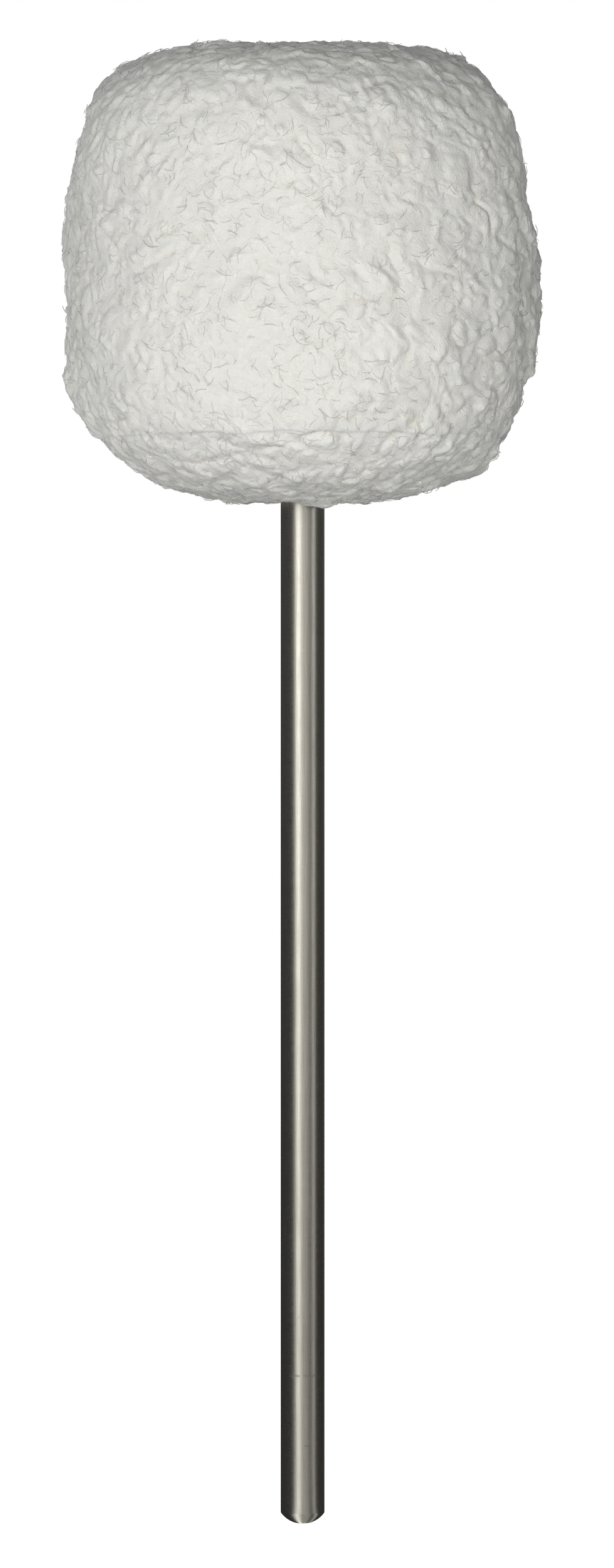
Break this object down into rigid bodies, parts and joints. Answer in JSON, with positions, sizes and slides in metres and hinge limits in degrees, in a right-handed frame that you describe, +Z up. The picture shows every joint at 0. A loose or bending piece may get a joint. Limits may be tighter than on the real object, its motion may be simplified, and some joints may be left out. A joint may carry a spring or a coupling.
{
  "type": "bass drum beater",
  "caption": "Bass drum pedal beater: a barrel-shaped felt head in a white fleece cover, clamped on a straight round steel shaft.",
  "frame": {"origin": "middle of the shaft's lower end face", "axes": "+Z up the shaft towards the head, -Y the front shown in the picture, +X to its right"},
  "size_m": [0.0867, 0.0862, 0.2699],
  "materials": {
    "ground_steel": "satin",
    "plated_steel": "satin",
    "hard_felt": "matte",
    "white_fleece": "matte",
    "sewing_thread": "matte"
  },
  "bodies": {
    "root": {"shaft": "ground_steel", "jam_nut": "plated_steel", "lower_washer": "plated_steel", "felt_disc_lower": "hard_felt", "felt_disc_middle": "hard_felt", "felt_disc_upper": "hard_felt", "upper_washer": "plated_steel", "spring_washer": "plated_steel", "head_nut": "plated_steel", "felt_plug": "hard_felt", "fleece_side_band": "white_fleece", "fleece_top_panel": "white_fleece", "fleece_bottom_panel": "white_fleece", "top_seam_thread": "sewing_thread", "bottom_seam_thread": "sewing_thread", "side_seam_thread": "sewing_thread", "neck_draw_thread": "sewing_thread"}
  },
  "joints": []
}
